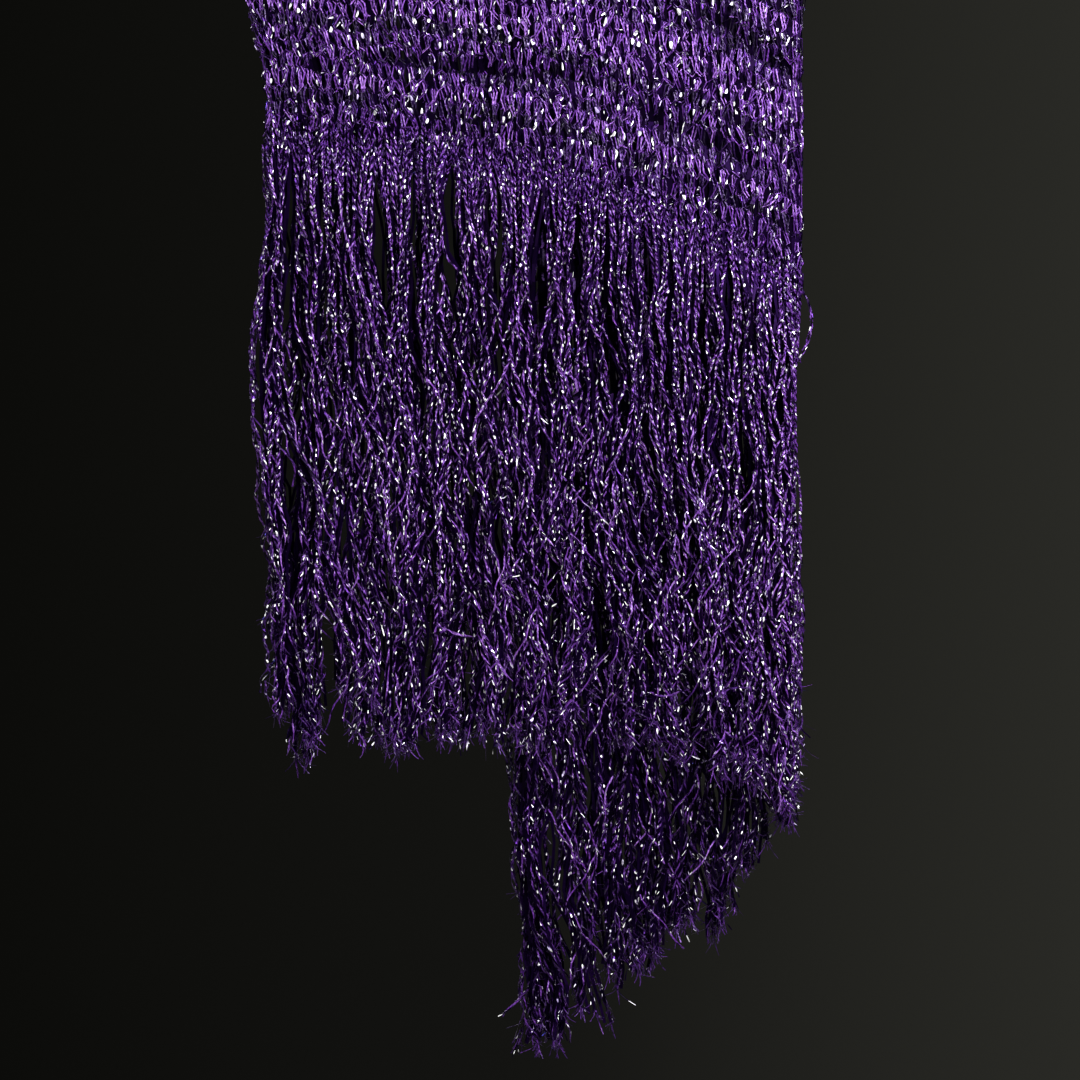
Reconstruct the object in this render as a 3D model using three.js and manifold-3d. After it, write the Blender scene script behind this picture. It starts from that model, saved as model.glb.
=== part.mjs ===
// A loosely knitted, fringed shawl in metallic yarn, folded once along its length and hung over a rail.
//
// The cloth is one long rectangle. A lengthwise fold at +X doubles it, so that each fall has a wide outer
// panel and, nearer the rail, a narrower panel that is folded back. The knit gives way in shear, so the
// end of each wale lies a little lower at the front than the one before it, and the hem slants all the
// way round the fold. Every wale ends in a strand of fringe.
//
// Millimetres, +Z up. The rail's axis is X and passes through the origin. The front faces -Y.
import * as THREE from 'three';
import { mergeVertices } from 'three/addons/utils/BufferGeometryUtils.js';
import Module from 'manifold-3d';

// The cloth as cut.
const clothLength = 1080; // hem to hem, without the fringe
const outerWidth = 266; // from the outer selvedge to the lengthwise fold
const innerWidth = 142; // the panel that is folded back, to the inner selvedge
const wall = 2.4; // the knit's thickness

// How it hangs.
const railRadius = 16;
const railClearance = 1;
const frontHang = 700; // from the rail's axis down to the front hem, at the outer selvedge
const foldX = 131; // where the lengthwise fold hangs
const foldSkew = 68; // how much lower the front hem is at the fold than at the outer selvedge
const skewPower = 2.35;
const innerSlope = 0.76; // how steeply the hem goes on beyond the fold
const flare = 9; // the outer selvedge spreads this much above the pull of the fringe
const flareBand = { low: -678, high: -618 };
const seamGap = 0.3;

// The panels' distances from the rail's axis, to the middle of the wall.
const innerLayer = railRadius + railClearance + wall / 2;
const layerSpace = 0.9; // air between the two panels, away from the fold
const foldOpening = 3.6; // how much wider that air is at the fold
const foldReach = 28; // how far from the fold it closes up
const outerLayer = innerLayer + wall + layerSpace;
const foldRadius = (wall + layerSpace + foldOpening) / 2;
const rearHang = clothLength - frontHang - Math.PI * outerLayer;

// Soft vertical ripples, which grow from nothing at the rail, and slack creases across the wales.
const rippleStart = -20;
const rippleFull = -260;
const frontRipples = [
  { wave: 96, depth: 2.2, phase: 0.6 },
  { wave: 57, depth: 1.1, phase: 2.1 },
];
const rearRipples = [
  { wave: 104, depth: 2.0, phase: 2.4 },
  { wave: 63, depth: 1.0, phase: 0.2 },
];
const frontCreases = [
  { x0: -68, z0: -655, x1: 24, z1: -665, depth: 2.4, spread: 7 },
  { x0: 54, z0: -680, x1: 112, z1: -710, depth: 2.6, spread: 7 },
  { x0: 91, z0: -637, x1: 130, z1: -665, depth: 2.2, spread: 7 },
  { x0: -112, z0: -566, x1: -22, z1: -556, depth: 2.3, spread: 9 },
  { x0: 12, z0: -512, x1: 104, z1: -538, depth: 2.5, spread: 9 },
  { x0: -86, z0: -404, x1: 8, z1: -412, depth: 2.0, spread: 10 },
  { x0: 34, z0: -296, x1: 122, z1: -322, depth: 1.8, spread: 10 },
];
const rearCreases = [
  { x0: -104, z0: -262, x1: -26, z1: -250, depth: 2.2, spread: 9 },
  { x0: 20, z0: -84, x1: 104, z1: -100, depth: 1.6, spread: 9 },
  { x0: -96, z0: -150, x1: -32, z1: -144, depth: 1.8, spread: 9 },
];

// The fringe: three-sided strands, one below every wale. Neighbours hang in two depths, and a gentle
// sideways drift that never lets one pass another parts them into clumps.
const strandsPerEnd = 92;
const foldMargin = 4.2; // no strand is nearer than this to the middle of the lengthwise fold
const fringeLength = 266;
const selvedgeExtra = 28; // the strands are this much longer at the outer selvedge
const selvedgeReach = 190;
const lengthSpread = 12;
const stripHeight = 5; // the edge chain that the strands grow from
const strandRings = [
  { down: 0, radius: 0.9 },
  { down: 0.1, radius: 1.25 },
  { down: 0.4, radius: 1.35 },
  { down: 0.72, radius: 1.25 },
  { down: 1, radius: 0.6 },
];
const depthStep = 2.9;
const drifts = [
  { wave: 27, size: 2.2, phase: 0.9, turn: 1.6 },
  { wave: 71, size: 1.6, phase: 2.6, turn: 2.2 },
];
const driftFrom = 0.02;
const driftFull = 0.34;
const edgeBow = 9; // the strands at the outer selvedge bow out by this much, part of the way down
const edgeBowReach = 24;

// How finely the wall is divided.
const outerColumns = 14;
const foldColumns = 5;
const innerColumns = 8;
const turnRows = 8;
const frontRows = { coarse: 11, fine: 13, fineBand: 150 };
const rearRows = { coarse: 4, fine: 7, fineBand: 190 };

const wasm = await Module();
wasm.setup();

const smoothstep = (low, high, value) => THREE.MathUtils.smoothstep(value, low, high);
const lerp = THREE.MathUtils.lerp;

// A repeatable number from 0 to 1 for strand i and purpose k.
function chance(i, k) {
  const wave = Math.sin(i * 12.9898 + k * 78.233) * 43758.5453;
  return wave - Math.floor(wave);
}

const foldArc = Math.PI * foldRadius;
const clothWidth = outerWidth + foldArc + innerWidth;

// How much lower the cloth hangs at the front, at a place u across it from the outer selvedge.
function skewAt(u) {
  const outer = foldSkew * (Math.min(u, outerWidth) / outerWidth) ** skewPower;
  return outer + innerSlope * Math.max(0, u - outerWidth);
}
const frontHemAt = (u) => -(frontHang + skewAt(u));
const rearHemAt = (u) => -(rearHang - skewAt(u));

// The outer panel lies a little proud near the fold.
const outerLayerAt = (fromFold) => outerLayer + foldOpening * Math.exp(-((fromFold / foldReach) ** 2));

// The cloth's section at height z: its place across (x), its distance out from the rail's axis (out), and
// the section's normal, which points away from the rail on the outer panel and towards it on the inner one.
function sectionAt(u, z) {
  if (u <= outerWidth) {
    const spread = flare * smoothstep(flareBand.low, flareBand.high, z);
    const fromFold = (outerWidth - u) * (1 + spread / outerWidth);
    return { x: foldX - fromFold, out: outerLayerAt(fromFold), normalX: 0, normalOut: 1 };
  }
  if (u < outerWidth + foldArc) {
    const turn = (u - outerWidth) / foldRadius;
    const middle = innerLayer + foldRadius;
    return {
      x: foldX + foldRadius * Math.sin(turn),
      out: middle + foldRadius * Math.cos(turn),
      normalX: Math.sin(turn),
      normalOut: Math.cos(turn),
    };
  }
  return { x: foldX - (u - outerWidth - foldArc), out: innerLayer, normalX: 0, normalOut: -1 };
}

// How far the cloth is moved outwards at a place on a fall: ripples along it, and creases across it.
function bulge(x, z, ripples, creases) {
  const grown = smoothstep(-rippleStart, -rippleFull, -z);
  let out = 0;
  for (const { wave, depth, phase } of ripples) {
    out += grown * depth * Math.sin((2 * Math.PI * x) / wave + phase);
  }
  for (const { x0, z0, x1, z1, depth, spread } of creases) {
    const along = (x - x0) / (x1 - x0);
    const ends = smoothstep(-0.25, 0.2, along) * smoothstep(-1.25, -0.8, -along);
    const above = z - lerp(z0, z1, along);
    const trough = Math.exp(-((above / spread) ** 2));
    const lip = Math.exp(-(((above - 1.7 * spread) / spread) ** 2));
    out += ends * depth * (0.6 * lip - trough);
  }
  return out;
}

const falls = {
  front: { side: -1, hemAt: frontHemAt, ripples: frontRipples, creases: frontCreases, rows: frontRows },
  rear: { side: 1, hemAt: rearHemAt, ripples: rearRipples, creases: rearCreases, rows: rearRows },
};

// A point of a fall: across the cloth, at height z, and off the wall's middle by a distance.
function fallPoint(fall, u, z, off) {
  const at = sectionAt(u, z);
  const x = at.x + off * at.normalX;
  const out = at.out + off * at.normalOut + bulge(at.x, z, fall.ripples, fall.creases);
  return new THREE.Vector3(x, fall.side * out, z);
}

const columns = [];
for (let i = 0; i < outerColumns; i += 1) columns.push((outerWidth * i) / outerColumns);
for (let i = 0; i < foldColumns; i += 1) columns.push(outerWidth + (foldArc * i) / foldColumns);
for (let i = 0; i <= innerColumns; i += 1) {
  columns.push(outerWidth + foldArc + (innerWidth * i) / innerColumns);
}

// The two panels, which meet in the middle of the fold. Each has a fringe of its own.
const foldMiddle = outerWidth + foldArc / 2;
const panels = {
  outer: { from: 0, to: foldMiddle - seamGap / 2 },
  inner: { from: foldMiddle + seamGap / 2, to: clothWidth },
};

// A ring round the section: along one face of the wall and back along the other.
function wallRing(pointAt, across = columns) {
  const there = across.map((u) => pointAt(u, wall / 2));
  const back = across.map((u) => pointAt(u, -wall / 2)).reverse();
  return [...there, ...back];
}

// A closed mesh through rings of equal length. A wall's ends are closed across its thickness, and a
// strand's by a fan.
function skin(rings, ends) {
  const count = rings[0].length;
  const positions = rings.flat().flatMap((p) => [p.x, p.y, p.z]);
  const faces = [];
  for (let r = 0; r + 1 < rings.length; r += 1) {
    for (let i = 0; i < count; i += 1) {
      const next = (i + 1) % count;
      const [a, b, c, d] = [r * count + i, r * count + next, (r + 1) * count + next, (r + 1) * count + i];
      faces.push(a, b, c, a, c, d);
    }
  }
  const last = (rings.length - 1) * count;
  if (ends === 'wall') {
    for (let i = 0; i + 1 < count / 2; i += 1) {
      const [a, b, c, d] = [i, i + 1, count - 2 - i, count - 1 - i];
      faces.push(a, c, b, a, d, c);
      faces.push(last + a, last + b, last + c, last + a, last + c, last + d);
    }
  } else {
    for (let i = 1; i + 1 < count; i += 1) {
      faces.push(0, i + 1, i, last, last + i, last + i + 1);
    }
  }
  const geometry = new THREE.BufferGeometry();
  geometry.setAttribute('position', new THREE.Float32BufferAttribute(positions, 3));
  geometry.setIndex(faces);
  return facingOut(geometry);
}

// The same geometry with its faces turned round if they point inwards.
function facingOut(geometry) {
  const p = geometry.getAttribute('position');
  const index = geometry.getIndex();
  const [a, b, c] = [new THREE.Vector3(), new THREE.Vector3(), new THREE.Vector3()];
  let volume = 0;
  for (let i = 0; i < index.count; i += 3) {
    a.fromBufferAttribute(p, index.getX(i));
    b.fromBufferAttribute(p, index.getX(i + 1));
    c.fromBufferAttribute(p, index.getX(i + 2));
    volume += a.dot(b.cross(c));
  }
  if (volume < 0) {
    for (let i = 0; i < index.count; i += 3) {
      const first = index.getX(i);
      index.setX(i, index.getX(i + 1));
      index.setX(i + 1, first);
    }
  }
  return geometry;
}

function toManifold(geometry) {
  const merged = mergeVertices(geometry, 1e-3);
  return new wasm.Manifold(
    new wasm.Mesh({
      numProp: 3,
      vertProperties: new Float32Array(merged.getAttribute('position').array),
      triVerts: new Uint32Array(merged.getIndex().array),
    }),
  );
}

function toGeometry(solid) {
  const mesh = solid.getMesh();
  const geometry = new THREE.BufferGeometry();
  geometry.setAttribute('position', new THREE.Float32BufferAttribute(mesh.vertProperties, 3));
  geometry.setIndex(new THREE.BufferAttribute(mesh.triVerts, 1));
  return geometry;
}

// Shares of the way down a fall: coarse steps, then fine ones near the hem where the creases lie.
function rowShares({ coarse, fine, fineBand }, length) {
  const bend = 1 - fineBand / length;
  const upper = Array.from({ length: coarse }, (_, i) => (bend * i) / coarse);
  const lower = Array.from({ length: fine + 1 }, (_, i) => lerp(bend, 1, i / fine));
  return [...upper, ...lower];
}

// One fall of the cloth, from just under the rail's level to its hem.
function fallGeometry(fall) {
  const rings = rowShares(fall.rows, -fall.hemAt(0)).map((share) =>
    wallRing((u, off) => fallPoint(fall, u, lerp(-seamGap, fall.hemAt(u), share), off)),
  );
  return skin(rings, 'wall');
}

// The turn of the cloth over the rail, from the front fall to the rear one.
function turnGeometry() {
  const rings = Array.from({ length: turnRows + 1 }, (_, i) => {
    const angle = (Math.PI * i) / turnRows;
    return wallRing((u, off) => {
      const at = sectionAt(u, 0);
      const out = at.out + off * at.normalOut;
      return new THREE.Vector3(at.x + off * at.normalX, -out * Math.cos(angle), out * Math.sin(angle));
    });
  });
  return skin(rings, 'wall');
}

const strandAt = (i) => ((i + 0.5) * clothWidth) / strandsPerEnd;

// The middle line of strand i of an end: its points, from inside the edge chain down to the tip.
function strandLine(fall, i, salt) {
  const u = strandAt(i);
  const rootZ = fall.hemAt(u) - seamGap - stripHeight / 2;
  const root = sectionAt(u, rootZ);
  const extra = selvedgeExtra * (1 - smoothstep(0, selvedgeReach, u));
  const length = fringeLength + extra + lengthSpread * (2 * chance(i, salt) - 1);
  const lane = (u > foldMiddle ? -1 : 1) * depthStep * (i % 2);
  const bow = edgeBow * Math.exp(-((u / edgeBowReach) ** 2));
  return strandRings.map(({ down }) => {
    const free = smoothstep(driftFrom, driftFull, down);
    let x = root.x - bow * Math.sin(Math.PI * Math.min(1, 1.2 * down));
    for (const { wave, size, phase, turn } of drifts) {
      x += free * size * Math.sin((2 * Math.PI * root.x) / wave + phase + turn * down + salt);
    }
    const z = rootZ - length * down;
    const out = root.out + lane * smoothstep(0, 0.14, down) + bulge(x, z, fall.ripples, fall.creases);
    return new THREE.Vector3(x, fall.side * out, z);
  });
}

// One strand of fringe, three-sided and thinner at its tip.
function strandGeometry(fall, i, salt) {
  const spin = 2 * Math.PI * chance(i, salt + 1);
  const rings = strandLine(fall, i, salt).map((p, n) =>
    [0, 1, 2].map((corner) => {
      const angle = spin + (2 * Math.PI * corner) / 3;
      const r = strandRings[n].radius;
      return new THREE.Vector3(p.x + r * Math.cos(angle), p.y + r * Math.sin(angle), p.z);
    }),
  );
  return skin(rings, 'fan');
}

// The fringe of one panel's end: the edge chain that closes its hem, and the strands that grow from it.
function fringeGeometry(fall, { from, to }, salt) {
  const across = [from, ...columns.filter((u) => u > from && u < to), to];
  const edge = [seamGap, seamGap + stripHeight].map((down) =>
    wallRing((u, off) => {
      const p = fallPoint(fall, u, fall.hemAt(u), off);
      return p.setZ(p.z - down);
    }, across),
  );
  const solids = [toManifold(skin(edge, 'wall'))];
  for (let i = 0; i < strandsPerEnd; i += 1) {
    const u = strandAt(i);
    if (u > from && u < to && Math.abs(u - foldMiddle) > foldMargin) {
      solids.push(toManifold(strandGeometry(fall, i, salt)));
    }
  }
  return toGeometry(wasm.Manifold.union(solids));
}

// Metallic polyester yarn in purple: glossy foil over a dull core.
const yarn = () => new THREE.MeshStandardMaterial({ color: 0x5b2c98, roughness: 0.42, metalness: 0.55 });

function piece(name, geometry) {
  const mesh = new THREE.Mesh(geometry, yarn());
  mesh.name = name;
  return mesh;
}

const shawl = new THREE.Group();
shawl.add(piece('front_fall', fallGeometry(falls.front)));
shawl.add(piece('rail_turn', turnGeometry()));
shawl.add(piece('rear_fall', fallGeometry(falls.rear)));
shawl.add(piece('front_fringe_outer', fringeGeometry(falls.front, panels.outer, 3)));
shawl.add(piece('front_fringe_inner', fringeGeometry(falls.front, panels.inner, 3)));
shawl.add(piece('rear_fringe_outer', fringeGeometry(falls.rear, panels.outer, 41)));
shawl.add(piece('rear_fringe_inner', fringeGeometry(falls.rear, panels.inner, 41)));

export default shawl;
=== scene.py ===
"""A loosely knitted shawl in metallic purple yarn, with a long fringe at each end, folded once along its
length and hung over a rail. Every stitch and every strand is made as yarn: dyed plies with a slit
metallised film twisted round them.

Cloth sizes are in millimetres, with the rail's axis on X at the origin, +Z up and the front facing -Y.
A place on the cloth is u across it from the outer selvedge, and s along it from the front hem.
"""

import math

import bpy
import numpy as np
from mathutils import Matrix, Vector


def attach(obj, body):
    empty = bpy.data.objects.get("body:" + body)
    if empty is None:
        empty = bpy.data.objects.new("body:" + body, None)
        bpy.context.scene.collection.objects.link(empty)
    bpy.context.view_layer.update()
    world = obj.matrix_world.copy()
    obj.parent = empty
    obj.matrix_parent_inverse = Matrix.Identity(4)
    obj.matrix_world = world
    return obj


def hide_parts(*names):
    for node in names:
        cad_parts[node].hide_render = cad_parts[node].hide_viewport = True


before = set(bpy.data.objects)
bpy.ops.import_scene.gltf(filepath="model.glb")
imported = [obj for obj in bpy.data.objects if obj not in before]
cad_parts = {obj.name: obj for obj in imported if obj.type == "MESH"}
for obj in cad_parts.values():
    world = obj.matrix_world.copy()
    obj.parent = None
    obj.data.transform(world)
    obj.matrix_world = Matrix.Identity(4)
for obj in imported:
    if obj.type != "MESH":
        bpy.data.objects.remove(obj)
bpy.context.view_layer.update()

MM = 0.001
TURN = 2 * math.pi
chance = np.random.default_rng(7)

# The cloth and how it hangs.
CLOTH_LENGTH = 1080.0
OUTER_WIDTH = 266.0
INNER_WIDTH = 142.0
FRONT_HANG = 700.0
FOLD_X = 131.0
FOLD_SKEW = 68.0
SKEW_POWER = 2.35
INNER_SLOPE = 0.76
FLARE = 9.0
FLARE_HEIGHTS = (-678.0, -618.0)
INNER_LAYER = 18.2
OUTER_LAYER = 21.5
FOLD_OPENING = 3.6
FOLD_REACH = 28.0
FOLD_RADIUS = 3.45
FOLD_ARC = math.pi * FOLD_RADIUS
FOLD_MIDDLE = OUTER_WIDTH + FOLD_ARC / 2
CLOTH_WIDTH = OUTER_WIDTH + FOLD_ARC + INNER_WIDTH
REAR_HANG = CLOTH_LENGTH - FRONT_HANG - math.pi * OUTER_LAYER
DEEPEST = {"front": 41.2, "rear": 39.6}  # no yarn stands further than this from the rail's axis
FURTHEST = 150.0  # nor further than this across
EDGES = (-139.0, 131.0)  # strands crowd together past these places across

# The knit: plain loops, much taller than they are wide.
WALES = 92
COURSES = 138
WALE = CLOTH_WIDTH / WALES
FOLD_WALE = 60
HEM_COURSES = 24  # of the front hem, whose outer stitches have all their plies
TURN_COURSES = (90, 99)  # those over the rail
LOOP_RISE = 5.5  # half the height of a loop, which reaches through the one above it
LOOP_SWELL = 0.24  # how far a loop's head is wider than its neck, in wales
LOOP_DEPTH = 0.8
# Points to a loop, the one that a row starts at, the loop's rise, and how far its depth lags behind it.
FINE_LOOP = (12, 0, LOOP_RISE, 0.0)
PLAIN_LOOP = (8, 1, 1.25 * LOOP_RISE, 0.8)
# How much the loops differ in rise, and in millimetres how they lean, slip along the wale and lift.
RISE_VARIES = (0.7, 1.25)
LEAN, SLIP, LIFT = 1.0, 1.1, 0.5
# Slow waves in the wales and the rows: size, and the angle for each row and for each millimetre across.
WALE_WAVES = [(1.1, 0.21, 0.08), (0.8, 0.47, -0.16)]
ROW_WAVES = [(1.5, 0.31, 0.05), (0.9, -0.2, 0.13)]
SELVEDGE = 0.4  # the least from a row's middle line to the cloth's edge
# The tone of the knit's dyed plies, how much rows (fine, plain) and stitches differ, and how far painted
# shade darkens the creases.
KNIT_TONE = 0.47
ROW_TONES = (0.17, 0.1)
STITCH_TONES = 0.24
CREASE_SHADE = 0.42

# The yarn: dyed plies and a slit film, wound loosely round each other. Widths, but CORE is a radius.
CORE = 0.42
PLY = 0.84
FILM = 0.72
WIDE_PLY = 1.4  # of the dark plies behind the strands, which are painted shade, and of the plain stitches' plies
SHADE_PLY_ASIDE = np.array([2.2, 0.6, 1.0])  # how far the second painted shade ply lies from the first, in x, y and z
BESIDE = 0.55  # of the fine stitches' second ply
KNIT_OFFSET = 0.68  # of the film from a loop's middle line
PLY_OFFSET = 0.6  # of a strand's plies from its middle line
STRAND_PITCH = (5.5, 11.0)  # one turn of a strand's plies
UNTWIST = 0.3  # the share of its twist that a strand loses towards its tip
# How far, in radians, the twist wavers and the second ply strays, and the length for a radian of that.
WAVERS = (1.2, 8)
STRAYS_BY = (0.9, 10)
SPLAY = (0.5, 2.0)  # how much further apart the plies are in a strand's lower half, and at its tip
TIP_TAPER = 0.3
DULL_SHARE = 0.42  # of the strands, at the left
DULLER = 0.3

# Tones of the film: lacquered up to the first, and from the second painted glints, beads of bare foil
# painted white.
LACQUERED, PAINTED_GLINT_FROM = 0.9, 0.92
FILM_TONE = 0.3
PAINTED_GLINT_TONES = (0.925, 1.0)

RIPPLES = {
    "front": [(96, 2.2, 0.6), (57, 1.1, 2.1)],  # wavelength, depth, phase
    "rear": [(104, 2.0, 2.4), (63, 1.0, 0.2)],
}
RIPPLES_GROW = (20, 260)  # down from the rail
# Slack creases across the wales: both ends, depth and spread.
CREASES = {
    "front": [
        (-68, -655, 24, -665, 2.6, 5.0),
        (54, -680, 112, -710, 2.4, 5.0),
        (91, -637, 130, -665, 3.0, 5.5),
        (-112, -566, -22, -556, 2.6, 8),
        (12, -512, 104, -538, 2.8, 8),
        (-86, -404, 8, -412, 2.2, 9),
        (34, -296, 122, -322, 2.0, 9),
    ],
    "rear": [
        (-104, -262, -26, -250, 2.4, 8),
        (20, -84, 104, -100, 1.6, 9),
        (-96, -150, -32, -144, 2.0, 9),
    ],
}
CREASE_ENDS = (-0.25, 0.2)  # where a crease fades in and out, as a share of its length
CREASE_DEPTH = 0.8  # the yarn's, as a share of the crease's
LIP_PLACE = 1.7  # above the crease, in spreads
LIP_HEIGHT = 0.3  # as a share of its depth

# The locks that the strands hang in: the middle of each at four heights, then its tip's place and height.
LOCK_HEIGHTS = {
    ("front", "outer"): (-725, -792, -865, -945),
    ("front", "inner"): (-780, -865, -945, -1040),
    ("rear", "outer"): (-320, -390, -460, -530),
    ("rear", "inner"): (-225, -280, -340, -400),
}
LOCKS = {
    ("front", "outer"): [
        (-128, -129, -127, -126, -122, -988),
        (-113, -110, -107, -113, -113, -1003),
        (-99, -95, -91, -98, -97, -975),
        (-86, -81, -78, -83, -84, -993),
        (-69, -67, -60, -63, -66, -1002),
        (-50, -49, -41, -41, -43, -998),
        (-29, -28, -30, -22, -22, -994),
        (-7, -6, -8, -1, 1, -997),
        (15, 13, 18, 23, 24, -991),
        (30, 30, 37, 46, 47, -997),
        (44, 46, 51, 61, 60, -1001),
        (59, 60, 64, 70, 74, -1004),
        (76, 75, 77, 88, 90, -1009),
        (93, 94, 95, 100, 102, -1014),
        (110, 110, 115, 113, 116, -1021),
        (129, 129, 128, 128, 127, -1030),
    ],
    ("front", "inner"): [
        (-6, -7, -6, -4, 5, -1151),
        (6, 5, 4, 6, 12, -1150),
        (17, 16, 15, 18, 23, -1135),
        (29, 29, 29, 33, 36, -1117),
        (43, 43, 43, 46, 48, -1112),
        (57, 56, 56, 61, 62, -1107),
        (71, 70, 70, 75, 79, -1095),
        (85, 84, 85, 90, 95, -1090),
        (98, 97, 99, 104, 111, -1066),
        (111, 111, 113, 117, 125, -1040),
        (125, 125, 127, 129, 131, -1022),
    ],
    ("rear", "outer"): [
        (-126, -128, -126, -124, -121, -606),
        (-107, -104, -101, -100, -99, -611),
        (-84, -82, -84, -77, -74, -599),
        (-60, -58, -52, -53, -51, -602),
        (-36, -38, -33, -30, -27, -590),
        (-12, -9, -10, -4, -2, -588),
        (12, 11, 17, 18, 19, -579),
        (35, 37, 36, 42, 44, -574),
        (58, 56, 61, 64, 67, -560),
        (82, 84, 83, 89, 90, -553),
        (105, 103, 107, 109, 111, -536),
        (126, 127, 128, 128, 127, -520),
    ],
    ("rear", "inner"): [
        (-5, -6, -8, -7, -7, -405),
        (9, 10, 9, 11, 11, -416),
        (28, 26, 28, 29, 29, -432),
        (49, 50, 49, 52, 52, -450),
        (71, 69, 72, 73, 73, -461),
        (94, 93, 95, 96, 96, -482),
        (117, 118, 117, 119, 119, -499),
    ],
}

# Where the front's locks stand apart: place across, how far apart, and how far down the strands that is.
PARTINGS = [
    (-101, 8.0, 215, 340),
    (-77, 5.0, 10, 95),
    (-58, 2.5, 6, 60),
    (-40, 6.0, 6, 90),
    (-22, 3.5, 12, 60),
    (4, 6.5, 12, 105),
    (24, 3.0, 10, 70),
    (58, 3.5, 8, 80),
    (98, 4.0, 6, 75),
]
PARTING_ENDS = (25, 40)  # how long a parting takes to open and to close
PARTING_REACH = 9  # how far across it is felt

# The fringe at each end: strands, the step along them, and whether they are made with all their plies.
FRINGES = {
    ("front", "outer"): (290, 1.7, True),
    ("front", "inner"): (146, 1.7, True),
    ("rear", "outer"): (150, 3.6, False),
    ("rear", "inner"): (80, 3.6, False),
}
# How light their dyed plies are, the share of painted glints, and the depths of the painted shade plies
# behind them.
YARN_SHOWN = {
    ("front", "outer"): (0.69, 0.66, (0.4, 1.6)),
    # Painted shade: the front's inner strands are darker and have fewer glints than the outer ones.
    ("front", "inner"): (0.37, 0.45, (0.0, 0.5)),
    ("rear", "outer"): (0.5, 0.3, ()),
    ("rear", "inner"): (0.5, 0.3, ()),
}

# How the strands hang. Stretches are in millimetres down a strand, and at its tip shares of its height.
ROOT_REACH = (1, 16)  # how far above the hem's edge they start
CHANGES = 0.3  # the share that goes over to the next lock
CHANGE_PLACE, CHANGE_REACH = (70, 210), 38
CUT_SHARE, CUT_MOST = 0.38, 85  # the strands that end above their lock's tip, and by how much at most
TIP_PLACE, TIP_SPREAD = 7, 5.0  # above the lock's tip
PULL = {"outer": (0.08, 0.48), "inner": (0.3, 0.7)}  # how much the locks draw their strands together
PULL_GROWS = (5, 60)
LOOSE, LOOSE_GROWS = 2.8, (35, 125)
SWING = (2, 3.0, 5.5)  # of the tips: its middle, and how the locks and the strands differ
SWING_GROWS = (0.62, 1.15)
SWAY, SWAY_LENGTH, SWAY_GROWS = (1.5, 4.5), (14, 26), (50, 190)  # the slow curves of a lock
# Wavelengths from, to, and size, across and out.
SIDE_WAVES = [(80, 170, 2.6), (30, 60, 1.6), (9, 16, 0.42)]
OUTWARD_WAVES = [(60, 110, 1.4), (12, 26, 0.5)]
WAVES_GROW = (0, 60)
LANES, LANES_GROW = (-2.5, 8.5), (0, 45)  # how far outer strands hang out from the cloth, and inner ones in
HEM_STEP, HEM_STEP_ENDS = 1.4, (20, 45)  # how far they start in front of its middle, or behind it
BOW, BOW_WIDTH, BOW_LENGTH = 9.0, 14, (50, 170)  # the outer selvedge's strands bow out
RIGHT_WAVE = (2.2, -969, 28)  # of the right edge: size, a height that it crosses, and length for a radian
CROWDING = (0.5, 0.35)  # how much of the way past the left and the right edge strands keep

# Strands that have slipped out and lie across the front: how far out, and places across and heights.
STRAYS = [
    (28, [(134, -770), (138.5, -778), (139.5, -789), (136, -799), (132, -808)]),
    (17, [(-1, -1119), (-8, -1127), (-16.5, -1134.5)]),
    (38, [(42, -972), (47, -978), (59, -984)]),
    (38, [(57, -970), (66, -973), (78, -968)]),
    (38, [(92, -973), (98, -968), (107, -968)]),
    (37, [(28, -937), (18, -950), (12, -966), (17, -982)]),
    (37, [(69, -913), (61, -925), (62, -936), (66, -950)]),
    (36, [(-27, -934), (-22, -945), (-18, -954), (-10, -966)]),
    (36, [(-48, -936), (-40, -941), (-30, -943)]),
    (37, [(9, -951), (4, -960), (0, -970)]),
    (36, [(-98, -700), (-94, -740), (-83, -775), (-74, -806), (-60, -838), (-58, -866)]),
    (36, [(-92, -822), (-82, -842), (-73, -866), (-70, -905), (-62, -930)]),
    (35, [(-10, -802), (-16, -818), (-27, -832), (-30, -850)]),
    (36, [(96, -930), (88, -947), (90, -962), (98, -979)]),
    (34, [(-108, -905), (-101, -925), (-88, -948), (-84, -972)]),
    (35, [(119, -905), (111, -925), (114, -952), (122, -981)]),
]
STRAY_STEP = 1.9

# The wisps: points, where on its strand one starts, as a share of it, and how far down it hangs.
WISP_POINTS = 14
WISP_PLACES = (0.4, 0.92)
WISP_FALLS = (14, 44)


def smooth(low, high, value):
    """0 below low, 1 above high, and an even curve between them."""
    t = np.clip((value - low) / (high - low), 0, 1)
    return t * t * (3 - 2 * t)


def unit(vectors):
    return vectors / (np.linalg.norm(vectors, axis=-1, keepdims=True) + 1e-9)


def outward_from(side):
    """The way that a side of the shawl faces."""
    return np.array([0.0, -1.0 if side == "front" else 1.0, 0.0])


def skew(u):
    """How much lower the front hem is at u than at the outer selvedge."""
    outer = FOLD_SKEW * (np.clip(u, 0, OUTER_WIDTH) / OUTER_WIDTH) ** SKEW_POWER
    return outer + INNER_SLOPE * np.maximum(0, u - OUTER_WIDTH)


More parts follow.
